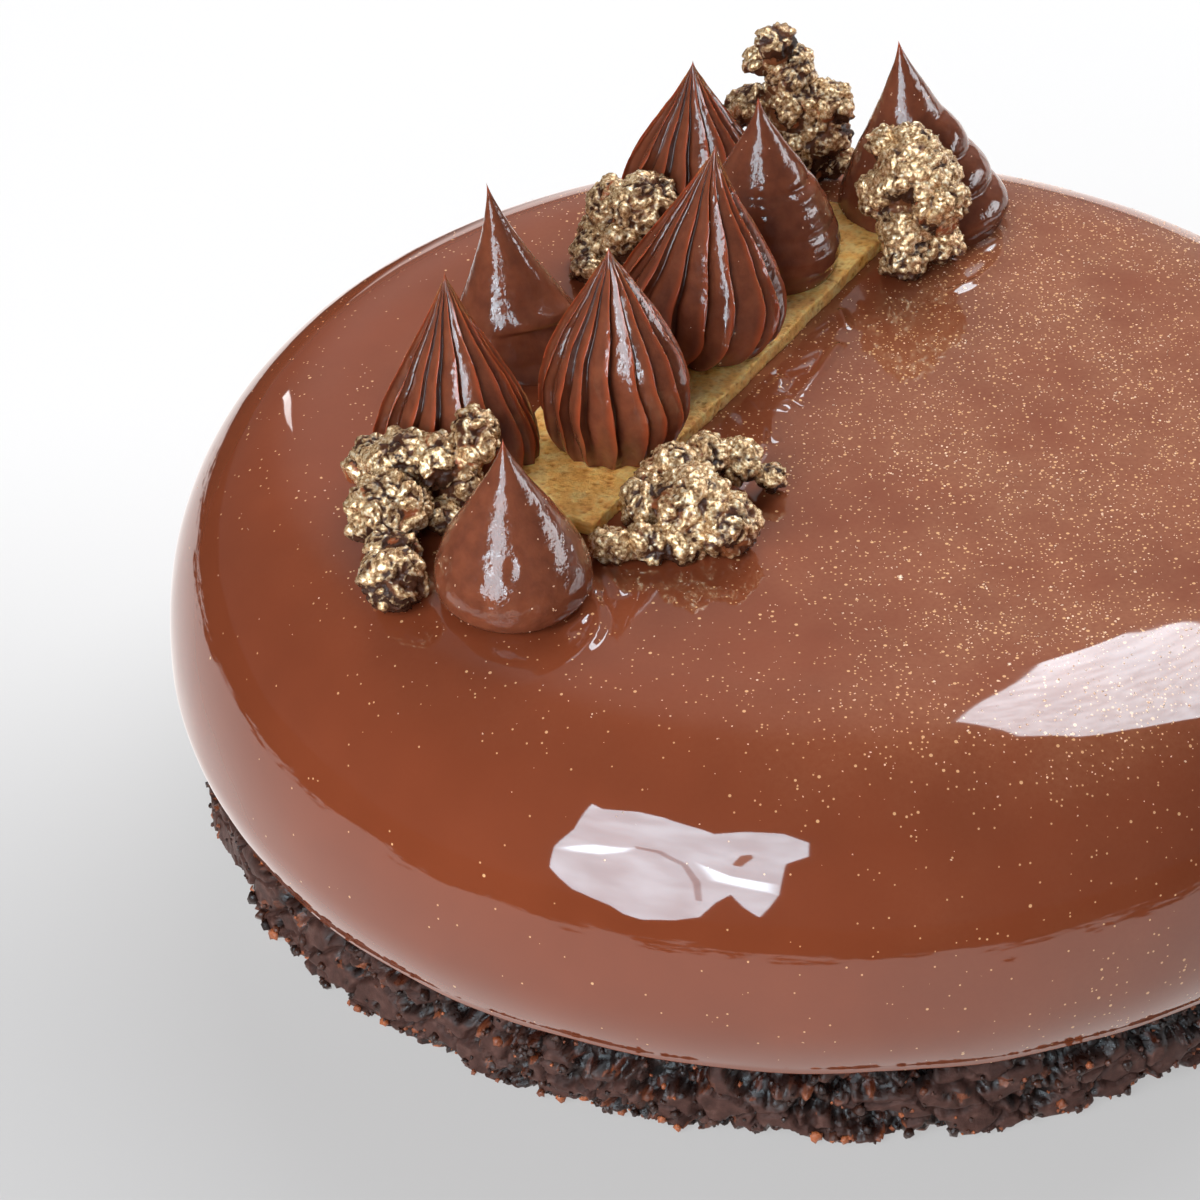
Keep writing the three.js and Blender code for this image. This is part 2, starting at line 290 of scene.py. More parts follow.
def crunch_side():
    """Rings of the base's side. The radius is that of the ring it was pressed in, less a round
    at both edges, and less the gaps: where smooth noise at three sizes is low, the side drops
    back by up to three millimetres to grains that are domes round scattered seeds."""
    turn = np.linspace(0, 2 * np.pi, BASE_AROUND, endpoint=False)
    rise = np.linspace(0, 1, BASE_ROWS)[:, None] * np.ones(BASE_AROUND)
    height = BASE_HEIGHT * rise
    flat = BASE_RADIUS * np.stack([np.cos(turn), np.sin(turn)])[:, None] + 0 * rise
    skin = np.stack([*flat, height], -1)
    rounding = round_off(np.minimum(height, BASE_HEIGHT - height) / BASE_EDGE, BASE_EDGE)
    stretched = skin * [1, 1, 1.7]
    press = unevenness(stretched, 6.5, 1) + 0.55 * unevenness(skin, 2.6, 2)
    press = press + 0.3 * unevenness(skin, 1.3, 3)
    press = press + 0.13 - 0.55 * smooth_step(0.4, 0.9, rise) - 0.3 * smooth_step(0.25, 0.0, rise)
    pit = 1 - smooth_step(-0.16, 0.06, press)
    near, _, owner = pebbles(skin, GRAIN, 4)
    dome = np.sqrt(np.clip(1 - (near / 0.72) ** 2, 0, 1))
    near, _, small_owner = pebbles(skin, SMALL_GRAIN, 5)
    small_dome = np.sqrt(np.clip(1 - (near / 0.75) ** 2, 0, 1))
    bent = stretched + 1.2 * unevenness(skin, 2.2, 9)[..., None]
    chunk_near, chunk_second, chunk = pebbles(bent, CHUNK, 6)
    crack = 1 - smooth_step(0.02, 0.1, chunk_second - chunk_near)
    tucked = 0.9 * smooth_step(0.72, 0.95, rise)
    fall = pit * (0.6 + 2.2 * smooth_step(0.1, -0.75, press)) + 1.1 * crack + tucked
    lumps = unevenness(skin, 9.0, 7) + 0.55 * (chunk - 0.5)
    grains = pit * (0.85 * dome * (0.4 + owner) + 0.45 * small_dome * small_owner)
    ripple = 0.05 * unevenness(skin, 1.1, 8) + 0.03 * unevenness(skin, 0.5, 10)
    reach = BASE_RADIUS + 0.35 + lumps - rounding - fall + grains + ripple
    reach = np.clip(reach, BASE_RADIUS - DEEPEST_GAP, BASE_RADIUS + PROUDEST_LUMP)
    rings = skin * (reach / BASE_RADIUS)[..., None]
    rings[..., 2] = height
    # How far the side drops back, 0 to 1; the finish darkens the gaps by it as painted shade.
    depth = np.clip(fall / 2.2, 0, 1)
    return rings, depth, np.where(pit > 0.5, owner, 0.5 + 0.3 * (chunk - 0.5)), pit


def crunch_finish():
    """Bitter chocolate crumb: the pressed skin is a soft grey brown with a dull shine, the gaps look
    wet and carry painted shade that darkens them to almost black, and some of the grains in them are
    toasted rust brown."""
    material, tree, shader = new_material("dark crunch")
    pit = add_number(tree, "pit")
    skin = add_ramp(
        tree, add_noise(tree, 1.6, 4), (0.3, 55, 34, 29), (0.55, 77, 51, 45), (0.75, 98, 71, 64))
    grains = add_ramp(
        tree, add_number(tree, "grain"), (0.0, 30, 15, 11), (0.4, 50, 28, 21), (0.72, 78, 46, 35),
        (0.82, 122, 66, 42), (1.0, 172, 98, 60))
    # Painted shade: the gaps darken towards near black the further they drop back.
    dark = add_mix(tree, add_number(tree, "depth"), grey(1), (0.16, 0.11, 0.1, 1))
    wet = add_ramp(tree, add_noise(tree, 0.9, 3), (0.35, 0.12), (0.6, 0.5))
    set_sockets(tree, shader, {
        "Base Color": add_mix(tree, 1.0, add_mix(tree, pit, skin, grains), dark, "MULTIPLY"),
        "Roughness": add_mix(tree, pit, grey(0.55), wet),
        "Specular IOR Level": add_math(tree, "MULTIPLY_ADD", pit, 0.2, 0.14),
        "IOR": 1.5,
        "Normal": add_bump(tree, add_noise(tree, 0.35, 4, 0.65), 0.35, 0.3),
    })
    return material


GRANULE_COUNT = 2100
GRANULE_SIDES = 6


def scattered_granules():
    """Loose crumbs stuck to the side: small uneven lumps, half sunk, most of them in the broken
    places and along the lower edge. Sizes from 0.5 to 1.9 mm, small ones commonest. Also a
    number from 0 to 1 for the colour of each point's lump, high in the toasted ones."""
    luck = np.random.default_rng(17)
    tries = GRANULE_COUNT * 4
    turn = luck.uniform(0, 2 * np.pi, tries)
    rise = luck.uniform(0, 1, tries) ** 1.3
    column = np.minimum((turn / (2 * np.pi) * BASE_AROUND).astype(int), BASE_AROUND - 1)
    row = np.minimum((rise * BASE_ROWS).astype(int), BASE_ROWS - 1)
    foot = side[row, column]
    wanted = 0.25 + 0.45 * side_pit[row, column] + 0.5 * (rise < 0.14)
    kept = np.flatnonzero(luck.uniform(0, 1, tries) < wanted)[:GRANULE_COUNT]
    foot, rise = foot[kept], rise[kept]
    size = 0.5 + 1.4 * luck.uniform(0, 1, len(kept)) ** 3
    middle = foot + unit(foot * [1, 1, 0]) * (0.1 * size)[:, None]
    middle[:, 2] = np.clip(middle[:, 2], 0.62 * size, BASE_HEIGHT - 0.62 * size)
    lift = np.repeat([-0.5, 0.0, 0.5], GRANULE_SIDES)[:, None]
    turn = 2 * np.pi * np.tile(np.arange(GRANULE_SIDES), 3) / GRANULE_SIDES
    ball = np.column_stack([np.sqrt(1 - lift ** 2) * circle(turn), lift])
    ball = np.concatenate([ball, [[0, 0, -1], [0, 0, 1]]])
    uneven = luck.uniform(0.55, 1.25, (len(kept), len(ball), 1))
    axes = np.linalg.qr(luck.normal(0, 1, (len(kept), 3, 3)))[0]
    axes[:, :, 0] *= np.sign(np.linalg.det(axes))[:, None]
    lumps = np.einsum("nij,pj->npi", axes, ball) * uneven * (size / 2)[:, None, None]
    points, faces = copied_rings(middle[:, None] + lumps, 3, GRANULE_SIDES)
    toasted = luck.uniform(0, 1, len(kept)) < 0.16 + 0.3 * (rise < 0.14)
    tone = np.where(toasted, luck.uniform(0.8, 1, len(kept)), luck.uniform(0, 0.75, len(kept)))
    return points, faces, np.repeat(tone, len(ball))


crunch_material = crunch_finish()
side, side_gap_shade, side_grain, side_pit = crunch_side()
add_piece(
    "crunch_base_crumb", closed_rings(side), ring_faces(BASE_ROWS, BASE_AROUND), "base_crumb",
    crunch_material, "crunch_base",
    depth=with_ends(side_gap_shade), grain=with_ends(side_grain), pit=with_ends(side_pit))
granule_points, granule_faces, granule_tone = scattered_granules()
add_piece(
    "crunch_base_granules", granule_points, granule_faces, "base_crumb", crunch_material,
    grain=granule_tone, pit=np.ones_like(granule_tone), depth=np.zeros_like(granule_tone))


# ------------------------------------------------------------------ glazed mousse
# The mousse under its mirror glaze: frozen hard in a round mould, then poured over with warm
# chocolate glaze that runs down and sets in a thin rounded lip over the base. It has faint
# ripples from the pour and a raised ring wherever something was set into it.
CAKE_RADIUS = 90.0
CAKE_TOP = 53.2
BELLY_HEIGHT = 22.0
LIP_HEIGHT = 11.7
LIP_RADIUS = 87.3
LIP_ROUND = 0.9
SHOULDER_START = 63.0
SHOULDER_POWER = 2.16
MOUSSE_AROUND = 800


def mousse_profile():
    """Radius and height from the underside out over the lip, up the belly, round the shoulder
    and in to the middle. The belly is a bow between two heights and the shoulder a curve whose
    two shares, each to the same power, add up to one, so that it leaves the flat top gently."""
    under = np.array([[radius, LIP_HEIGHT] for radius in (40.0, 80.0, LIP_RADIUS - 1.6)])
    lip = [LIP_RADIUS - LIP_ROUND, LIP_HEIGHT + LIP_ROUND]
    lip = lip + LIP_ROUND * circle(np.linspace(-0.5 * np.pi, 0, 6))
    share = np.linspace(0, 1, 12)[1:]
    low, left = lip[-1, 1], (1 - share) ** 2
    belly = np.column_stack([left * LIP_RADIUS + (1 - left) * CAKE_RADIUS,
                             low + (BELLY_HEIGHT - low) * share])
    swing = circle(np.linspace(0, 0.5 * np.pi, 46)[1:-1]) ** (2 / SHOULDER_POWER)
    reach = [CAKE_RADIUS - SHOULDER_START, CAKE_TOP - BELLY_HEIGHT]
    shoulder = [SHOULDER_START, BELLY_HEIGHT] + reach * swing
    inner = np.concatenate([np.arange(SHOULDER_START, 9, -0.45), np.arange(9, 1, -1.0)])
    top = np.column_stack([inner, np.full(len(inner), CAKE_TOP)])
    return np.concatenate([under, lip, belly, shoulder, top])


# The places where something stands in the glaze: middle and foot radius.
SET_IN = [(-38.4, -44.7, 8.3), (-48.2, -13.7, 11.0), (-41.9, 15.8, 10.6), (-18.8, 53.0, 7.8),
          (13.9, 54.0, 12.2)]
RING_HEIGHT = 0.3
RING_OUT = 1.5
RING_WIDTH = 0.8
# Ripples that set as the last of the glaze ran round the toppings: middle, radius, the way in
# degrees that the ripple faces, how far round it goes and how high it is.
ROUND_RIPPLES = [(-40.0, -50.0, 12.6, 0, 30, 0.42), (-40.0, -50.0, 12.6, -100, 110, 0.1),
                 (10.0, 45.0, 15.5, -20, 42, 0.42)]
DRAGGED_RIPPLES = [
    [(-6.8, -7.6), (-6.5, -0.7), (-4.9, 2.4), (-4.1, 1.6), (-0.4, 9.7), (1.4, 14.9), (2.05, 16.5)],
    [(-6.2, 5.9), (-5.7, 7.5)], [(3.1, 21.9), (2.3, 25.7)], [(-29.9, -37.9), (-28.4, -43.8)],
    [(-27.3, -38.5), (-25.3, -43.7)],
]
RIPPLE_HEIGHT = 0.4
RIPPLE_WIDTH = 0.7


def way_to_path(points, path):
    """How far the points are, seen from above, from a path of straight stretches."""
    away = np.full(points.shape[:-1], 99.0)
    for start, end in zip(path[:-1], path[1:]):
        start, along = np.array(start), np.array(end) - np.array(start)
        share = np.clip(((points[..., :2] - start) @ along) / (along @ along), 0, 1)
        foot = start + share[..., None] * along
        away = np.minimum(away, np.linalg.norm(points[..., :2] - foot, axis=-1))
    return away


def turn_between(angle, towards):
    """How far an angle in radians is from a way in degrees, either way round."""
    turn = angle - np.radians(towards)
    return np.abs(np.arctan2(np.sin(turn), np.cos(turn)))


def glaze_relief(points):
    """How far the glaze stands out of its plain shape: long weak swells that are stronger down
    the side, a bell-shaped ring round each foot, uneven along its length, and bell-shaped
    ripples along circles and dragged paths."""
    radius = np.hypot(points[..., 0], points[..., 1])
    down = smooth_step(60, 86, radius)
    swell = (0.012 + 0.05 * down) * unevenness(points, 15.0, 21)
    swell = swell + (0.006 + 0.014 * down) * unevenness(points, 6.5, 22)
    raised = np.zeros_like(radius)
    patchy = np.clip(0.45 + 0.9 * unevenness(points, 5.0, 23), 0, 1.3)
    for x, y, foot in SET_IN:
        away = np.hypot(points[..., 0] - x, points[..., 1] - y) - foot
        raised = np.maximum(raised, RING_HEIGHT * patchy * bell(away - RING_OUT, RING_WIDTH))
    for x, y, ring, towards, spread, height in ROUND_RIPPLES:
        out = points[..., :2] - [x, y]
        away = np.linalg.norm(out, axis=-1) - ring
        apart = np.degrees(turn_between(np.arctan2(out[..., 1], out[..., 0]), towards))
        here = height * (1 - smooth_step(spread * 0.75, spread * 1.15, apart))
        raised = np.maximum(raised, here * bell(away, RIPPLE_WIDTH))
    for path in DRAGGED_RIPPLES:
        away = way_to_path(points, path)
        raised = np.maximum(raised, RIPPLE_HEIGHT * bell(away, RIPPLE_WIDTH))
    level = smooth_step(CAKE_TOP - 2, CAKE_TOP - 0.3, points[..., 2])
    return swell + raised * level


def carried_round(profile, ways):
    """Radius and height of each profile point carried round: one ring of points for each."""
    flat = profile[:, None, :1] * ways
    height = np.broadcast_to(profile[:, None, 1:], flat.shape[:2] + (1,))
    return np.concatenate([flat, height], -1)


def mousse_rings():
    """The profile turned about +Z and moved out along its own normal by the relief. The lip
    hangs a little lower where more of the glaze ran down before it set."""
    profile = mousse_profile()
    along = unit(np.gradient(profile, axis=0))
    out = np.stack([along[:, 1], -along[:, 0]], -1)
    turn = np.linspace(0, 2 * np.pi, MOUSSE_AROUND, endpoint=False)
    ways = circle(turn)
    plain = carried_round(profile, ways)
    rings = plain + carried_round(out, ways) * glaze_relief(plain)[..., None]
    run = unevenness(np.concatenate([ways * 80, np.zeros((MOUSSE_AROUND, 1))], -1), 13.0, 24)
    low = 1 - smooth_step(LIP_HEIGHT, LIP_HEIGHT + 5, profile[:, 1])
    rings[..., 2] -= low[:, None] * np.clip(0.45 * run + 0.1, -0.1, 0.5)
    return rings


def dust_thickness(points):
    """How thickly the gold dust lies, 0 to 1: thick on the right of the top, thin on the left
    and down the side, and patchy all over."""
    right = 0.15 + 0.85 * smooth_step(-42, 34, points[..., 0] + 0.25 * points[..., 1])
    high = 0.22 + 0.78 * smooth_step(44, 52.8, points[..., 2])
    patchy = 0.75 + 0.5 * unevenness(points, 16.0, 25) + 0.35 * unevenness(points, 5.0, 26)
    return np.clip(right * high * patchy, 0, 1)


def add_specks(tree, cell, size, thickness):
    """Round specks, 0 or 1: seeds one to a cell, each showing where the dust is thick enough."""
    inputs = {"Vector": add_place(tree), "Scale": 1 / (cell * MM)}
    seeds = add_node(tree, "ShaderNodeTexVoronoi", inputs)
    chance = add_node(tree, "ShaderNodeSeparateColor", {"Color": seeds.outputs["Color"]}).outputs[0]
    near = add_math(tree, "LESS_THAN", seeds.outputs["Distance"], size)
    return add_math(tree, "MULTIPLY", near, add_math(tree, "LESS_THAN", chance, thickness))


def glaze_finish():
    """Mirror glaze: cocoa, cream and gelatine, brick brown and a little see-through, with a wet
    shine. Fine gold dust, thickest at the right of the back, warms and lifts its colour."""
    material, tree, shader = new_material("mirror glaze")
    colour = add_ramp(tree, add_noise(tree, 14, 2), (0.3, 116, 56, 33), (0.7, 123, 60, 36))
    thickness = add_number(tree, "dust")
    haze = add_math(tree, "MULTIPLY", thickness, add_noise(tree, 0.7, 4, 0.7))
    colour = add_mix(tree, add_math(tree, "MULTIPLY", haze, 0.3), colour, paint(214, 162, 124))
    fine = add_specks(tree, 0.62, 0.22, add_math(tree, "MULTIPLY", thickness, 0.75))
    specks = add_math(tree, "MAXIMUM", fine, add_specks(tree, 1.5, 0.15, thickness))
    colour = add_mix(tree, add_math(tree, "MULTIPLY", specks, 0.7), colour, paint(240, 192, 140))
    set_sockets(tree, shader, {"Base Color": colour, "Roughness": 0.035, "IOR": 1.6})
    return material


mousse = mousse_rings()
mousse_points = closed_rings(mousse)
add_piece(
    "glazed_mousse_skin", mousse_points, ring_faces(*mousse.shape[:2]), "glaze", glaze_finish(),
    "glazed_mousse", dust=dust_thickness(mousse_points))


# ------------------------------------------------------------------ biscuit strip
# The biscuit strip: a thin sheet of soft golden sponge, cut to a long ribbon with a knife and
# laid on the set glaze. Its top is the open, dry crumb and its cut side is a little paler.
STRIP_CORNER = np.array([-29.2, -31.4])
STRIP_HEADING = math.radians(26.7)
STRIP_LENGTH = 89.5
STRIP_WIDTH = 20.4
STRIP_THICKNESS = 2.2
STRIP_TOP = CAKE_TOP + STRIP_THICKNESS
STRIP_EDGE = 0.35
PORE = 1.0
SMALL_PORE = 0.55
STRIP_ALONG = 330
STRIP_ACROSS = 76


def strip_section():
    """The ribbon's section as a loop: up the near side, over the top and down the far side, with
    quarter circles for the upper corners and two points underneath."""
    bend = np.linspace(0, 0.5 * np.pi, 5)[1:-1]
    wall = np.linspace(0.1, STRIP_THICKNESS - STRIP_EDGE, 7)
    corner = [STRIP_EDGE, STRIP_THICKNESS - STRIP_EDGE] + STRIP_EDGE * circle(bend) * [-1, 1]
    near_side = np.concatenate([np.column_stack([0 * wall, wall]), corner])
    across = np.linspace(STRIP_EDGE, STRIP_WIDTH - STRIP_EDGE, STRIP_ACROSS)
    top = np.column_stack([across, np.full(STRIP_ACROSS, STRIP_THICKNESS)])
    far_side = near_side[::-1] * [-1, 1] + [STRIP_WIDTH, 0]
    under = np.array([[0.75 * STRIP_WIDTH, 0], [0.25 * STRIP_WIDTH, 0]])
    return np.concatenate([near_side, top, far_side, under])


def strip_rings():
    """The section carried along the ribbon, drawn in at both ends by a quarter circle. The top
    has a crumbly grain and pores, which are dents round scattered seeds; the sides waver."""
    section = strip_section()
    run_in = STRIP_EDGE * np.linspace(0, 0.8, 4)
    body = np.linspace(STRIP_EDGE, STRIP_LENGTH - STRIP_EDGE, STRIP_ALONG)
    down = np.concatenate([run_in, body, STRIP_LENGTH - run_in[::-1]])[:, None]
    to_end = np.minimum(down, STRIP_LENGTH - down) / STRIP_EDGE
    drawn = round_off(to_end, STRIP_EDGE)
    from_middle = (section[:, 0] - STRIP_WIDTH / 2)[None]
    side = np.sign(from_middle)
    across = from_middle - side * drawn * np.minimum(1, np.abs(from_middle) / STRIP_EDGE)
    from_mid_height = (section[:, 1] - STRIP_THICKNESS / 2)[None]
    up = STRIP_THICKNESS / 2 + from_mid_height * (1 - 2 * drawn / STRIP_THICKNESS)
    down = down + 0 * across
    local = np.stack([down, across, up], -1)
    edge_share = np.abs(from_middle * 2 / STRIP_WIDTH) ** 3
    waver = 0.35 * unevenness(np.stack([down, 40 * side + 0 * down, 0 * down], -1), 9.0, 31)
    waver = waver + 0.12 * unevenness(local, 1.6, 32)
    near, _, owner = pebbles(local, PORE, 33)
    pore = (1 - smooth_step(0.1, 0.5, near)) * (owner > 0.5)
    near, _, _ = pebbles(local, SMALL_PORE, 34)
    pore = pore + 0.5 * (1 - smooth_step(0.1, 0.6, near))
    on_top = smooth_step(STRIP_THICKNESS - 0.6, STRIP_THICKNESS, section[:, 1])
    crumb = 0.12 * unevenness(local, 2.4, 35) + 0.09 * unevenness(local, 0.8, 36) - 0.2 * pore
    up = np.maximum(up + crumb * on_top - 0.05, 0.01)
    across = STRIP_WIDTH / 2 + across + side * (waver * edge_share - 0.12 * pore * (1 - on_top))
    heading = np.array([math.sin(STRIP_HEADING), math.cos(STRIP_HEADING)])
    left = np.array([-heading[1], heading[0]])
    place = STRIP_CORNER + down[..., None] * heading + across[..., None] * left
    rings = np.concatenate([place, (CAKE_TOP + up)[..., None]], -1)
    return rings[:, ::-1], pore[:, ::-1]


def biscuit_finish():
    """Golden sponge: honey and sand coloured crumb with painted shade that darkens the pores, and
    toasted patches.
    """
    material, tree, shader = new_material("golden biscuit")
    patch = add_ramp(
        tree, add_noise(tree, 2.6, 5, 0.65), (0.3, 236, 162, 78), (0.45, 255, 196, 104),
        (0.6, 255, 219, 140), (0.75, 255, 203, 108))
    # Painted shade: the crumb is darkened where the pores dent it.
    pores = add_mix(tree, add_number(tree, "pore"), grey(1), paint(206, 172, 122))
    set_sockets(tree, shader, {
        "Base Color": add_mix(tree, 1.0, patch, pores, "MULTIPLY"),
        "Roughness": 0.75,
        "IOR": 1.4,
        "Subsurface Weight": 0.25,
        "Subsurface Radius": (1.0, 0.5, 0.2),
        "Subsurface Scale": 1.2 * MM,
        "Normal": add_bump(tree, add_noise(tree, 0.3, 4, 0.65), 0.55, 0.4),
    })
    return material


strip, strip_pore = strip_rings()
add_piece(
    "biscuit_strip_sponge", closed_rings(strip), ring_faces(*strip.shape[:2]), "biscuit",
    biscuit_finish(), "biscuit_strip", pore=with_ends(strip_pore))


# ------------------------------------------------------------------ piped kisses
# The kisses: dark chocolate ganache whipped just stiff enough to stand. A closed star nozzle
# makes thin overlapping pleats that meet in a pulled tip, a plain nozzle makes the smooth ones,
# which show the coil of the cream where the bag was squeezed more than once.
KISS_ROWS = 132
SMOOTH_AROUND = 180
PLEATS = 18
PLEAT_POINTS = 22
PLEAT_DEPTH = 0.19
PLEAT_DROP = 0.2
CREST_WIDTH = 0.045
GROOVE_WIDTH = 0.1
WIDE_PLEATS_TOWARDS = 205
LEAN_POWER = 1.25
# Shares of a kiss's height, closer together at its foot and at its tip.
even_rows = np.linspace(0, 1, KISS_ROWS)
crowded_foot, crowded_tip = even_rows ** 1.35, 1 - (1 - even_rows) ** 1.2
kiss_shares = (crowded_foot * (1 - even_rows) + crowded_tip * even_rows)[:, None]


def flank(shape, t):
    """Half width of a kiss at share t of its height: (t + foot)^belly * (1 - t^bullet)^taper,
    scaled so that the widest place is 1."""
    foot, belly, bullet, taper = shape
    heights = np.linspace(0, 0.98, 60)
    peak = ((heights + foot) ** belly * (1 - heights ** bullet) ** taper).max()
    return (t + foot) ** belly * (1 - t ** bullet) ** taper / peak


def turned_to(angle, towards, spread):
    """How fully a direction faces towards an angle, 1 there and 0 at the spread or further:
    the squared cosine of the share of the spread. Degrees."""
    away = turn_between(angle, towards) / np.radians(spread)
    return np.cos(np.minimum(1, away) * np.pi / 2) ** 2


def kiss_rings(kiss, reach, angle, t, grain, depth, salt):
    """Points at a reach from the kiss's middle line, which drifts to one side by its lean times
    a power of the height. Weak lumps at two sizes cover all but the very foot and tip."""
    x, y, floor, height, lean = kiss
    across, along = np.cos(angle) + 0 * t, np.sin(angle) + 0 * t
    rings = np.stack([
        x + lean * t ** LEAN_POWER + reach * across, y + reach * along,
        floor + height * t + 0 * across], -1)
    body = smooth_step(0.0, 0.06, 1 - t) * smooth_step(0, 0.03, t)
    rough = unevenness(rings, grain, salt) + 0.45 * unevenness(rings, grain / 3, salt + 1)
    out = np.stack([across, along, 0.35 + 0 * across], -1)
    return rings + out * (depth * rough * body)[..., None]


def pleated_kiss(kiss, radius, shape, sway, kink, salt):
    """Rings of a pleated kiss. Each pleat climbs as a broad, slightly bowed face to a thin crest
    and drops from it steeply, a quarter sine, into a groove that the crest leans over. Pleats
    are wider on one side, uneven in width and depth, fade at the tip, and near the foot they
    swell into round lobes and bend by the kink."""
    t = kiss_shares
    even = np.linspace(0, 1, PLEAT_POINTS, endpoint=False)
    share = even - 0.8 * np.sin(2 * np.pi * even) / (2 * np.pi)
    order = np.arange(PLEATS)
    luck = np.random.default_rng(salt)
    start = order + luck.uniform(-0.24, 0.24, PLEATS)
    width = np.append(start[1:], start[0] + PLEATS) - start
    pleat_luck = luck.uniform(0.7, 1.25, PLEATS)
    turn = (start[:, None] + width[:, None] * share).ravel() * 2 * np.pi / PLEATS
    pleat = np.repeat(order, PLEAT_POINTS)
    across = np.tile(share, PLEATS)[None]
    climb = np.clip((across - PLEAT_DROP) / (1 - PLEAT_DROP), 0, 1)
    drop = np.sin(np.minimum(1, across / PLEAT_DROP) * np.pi / 2)
    sharp = np.where(across < PLEAT_DROP, drop, 1 - climb ** 0.85)
    lobe = 0.5 - 0.5 * np.cos(2 * np.pi * across)
    crest = bell(np.minimum(1 - across, 2.5 * across), CREST_WIDTH)
    groove = bell(across - PLEAT_DROP, GROOVE_WIDTH)
    soft = 0.8 * (1 - smooth_step(0.03, 0.2, t))
    cut = sharp * (1 - soft) + lobe * soft
    fade = smooth_step(0.0, 0.14, 1 - t) * (0.6 + 0.4 * smooth_step(0.0, 0.1, t))
    reach = radius * flank(shape, t)
    deep = PLEAT_DEPTH * reach * pleat_luck[pleat][None]
    reach = reach + fade * (0.016 * radius * (1 + crest * (1 - soft)) - deep * cut)
    turn = turn + 0.3 * np.sin(turn - math.radians(WIDE_PLEATS_TOWARDS))
    angle = turn[None] + sway * np.sin(np.pi * t) + 0.07 * crest * fade * (1 - soft)
    bend = kink * bell(t - 0.2, 0.13) * (0.6 + 0.4 * np.sin(3 * angle + salt))
    angle = angle + bend + 0.02 * np.sin(7 * t * np.pi + pleat[None])
    rings = kiss_rings(kiss, reach, angle, t, 2.3, 0.07, salt)
    # For the finish: a painted red glow of light through the thin crests and at the tip, and painted
    # shade in the grooves.
    edge = np.maximum(crest * fade * (1 - 0.8 * soft), smooth_step(0.93, 1.0, t))
    return rings, edge, groove * fade * (1 - 0.5 * soft)


def smooth_kiss(kiss, radius, shape, salt, extra):
    """Rings of a smooth kiss: the flank with whatever the extra term of the height and the
    angle adds."""
    t = kiss_shares
    angle = np.linspace(0, 2 * np.pi, SMOOTH_AROUND, endpoint=False)[None]
    reach = np.maximum(radius * flank(shape, t) + extra(t, angle), 0)
    rings = kiss_rings(kiss, reach, angle, t, 4.5, 0.09, salt)
    # A painted red glow of light through the thin tip; a smooth kiss has no painted groove shade.
    tip = smooth_step(0.9, 1.0, t) + 0 * angle
    return rings, tip, 0 * tip


def coils(t, angle, towards, spread, low, high, count, depth):
    """Stacked coils of cream on one side: half sines over a band of the height."""
    share = np.clip((t - low) / (high - low), 0, 1)
    return depth * turned_to(angle, towards, spread) * np.abs(np.sin(np.pi * count * share)) ** 0.7


def ganache_finish():
    """Whipped ganache: milk chocolate brown with a satin shine and tiny air holes, with a painted red
    glow of light through the thin pleat edges and at the tips, and painted shade in the grooves."""
    material, tree, shader = new_material("piped ganache")
    body = add_ramp(tree, add_noise(tree, 2.5, 3), (0.3, 104, 57, 40), (0.7, 126, 71, 49))
    # Painted glow: thin crests and tips are coloured red as if lit through.
    colour = add_mix(tree, add_number(tree, "edge"), body, paint(158, 74, 44))
    # Painted shade: the grooves between the pleats are darkened.
    hollow = add_mix(tree, add_number(tree, "hollow"), grey(1), (0.3, 0.24, 0.22, 1))
    set_sockets(tree, shader, {
        "Base Color": add_mix(tree, 1.0, colour, hollow, "MULTIPLY"),
        "Roughness": add_ramp(tree, add_noise(tree, 1.4, 3), (0.35, 0.06), (0.7, 0.15)),
        "IOR": 1.5,
        "Subsurface Weight": 0.15,
        "Subsurface Radius": (1.0, 0.3, 0.15),
        "Subsurface Scale": 0.8 * MM,
        "Normal": add_bump(tree, add_noise(tree, 1.5, 3, 0.5), 0.35, 0.4),
    })
    return material


def front_extra(t, angle):
    """The lone kiss has one soft dent beside its highlight."""
    return -0.3 * bell(t - 0.4, 0.05) * turned_to(angle, -84, 9)


def lapped_extra(t, angle):
    """The kiss at the left of the back was squeezed twice: a skirt flares over a smaller first
    blob towards the right of the front, and ends in a thin lap with a step under it."""
    skirt = 1.2 * turned_to(angle, -5, 90) * np.clip(1 - t / 0.5, 0, 1) ** 2
    rise = 0.2 + 0.07 * np.cos(angle - math.radians(-60))
    lap = 0.7 * bell(t - rise - 0.03, 0.05)
    step = -1.5 * (1 - smooth_step(-0.035, 0.0, t - rise)) * smooth_step(0.0, 0.08, t)
    return skirt + (lap + step) * turned_to(angle, -50, 75)


def drum_extra(t, angle):
    """The right kiss is a drum of flat coils under a cone, with a crease between."""
    front = turned_to(angle, -40, 110)
    crease = -0.35 * bell(t - 0.53, 0.022) * (0.3 + 0.7 * front)
    rim = 0.25 * bell(t - 0.49, 0.03) * front
    bands = 0.045 * np.sin(2 * np.pi * t / 0.075 + 2 * angle) * (1 - smooth_step(0.4, 0.5, t))
    left = coils(t, angle, -160, 50, 0.1, 0.52, 4, 0.5)
    return crease + rim + bands + left + coils(t, angle, -35, 70, 0.08, 0.52, 2, 0.3)


def far_extra(t, angle):
    """The far kiss has fat coils on its right, with flatter ones round the front."""
    return coils(t, angle, -15, 65, 0.04, 0.6, 3, 1.3) * (1.25 - t)


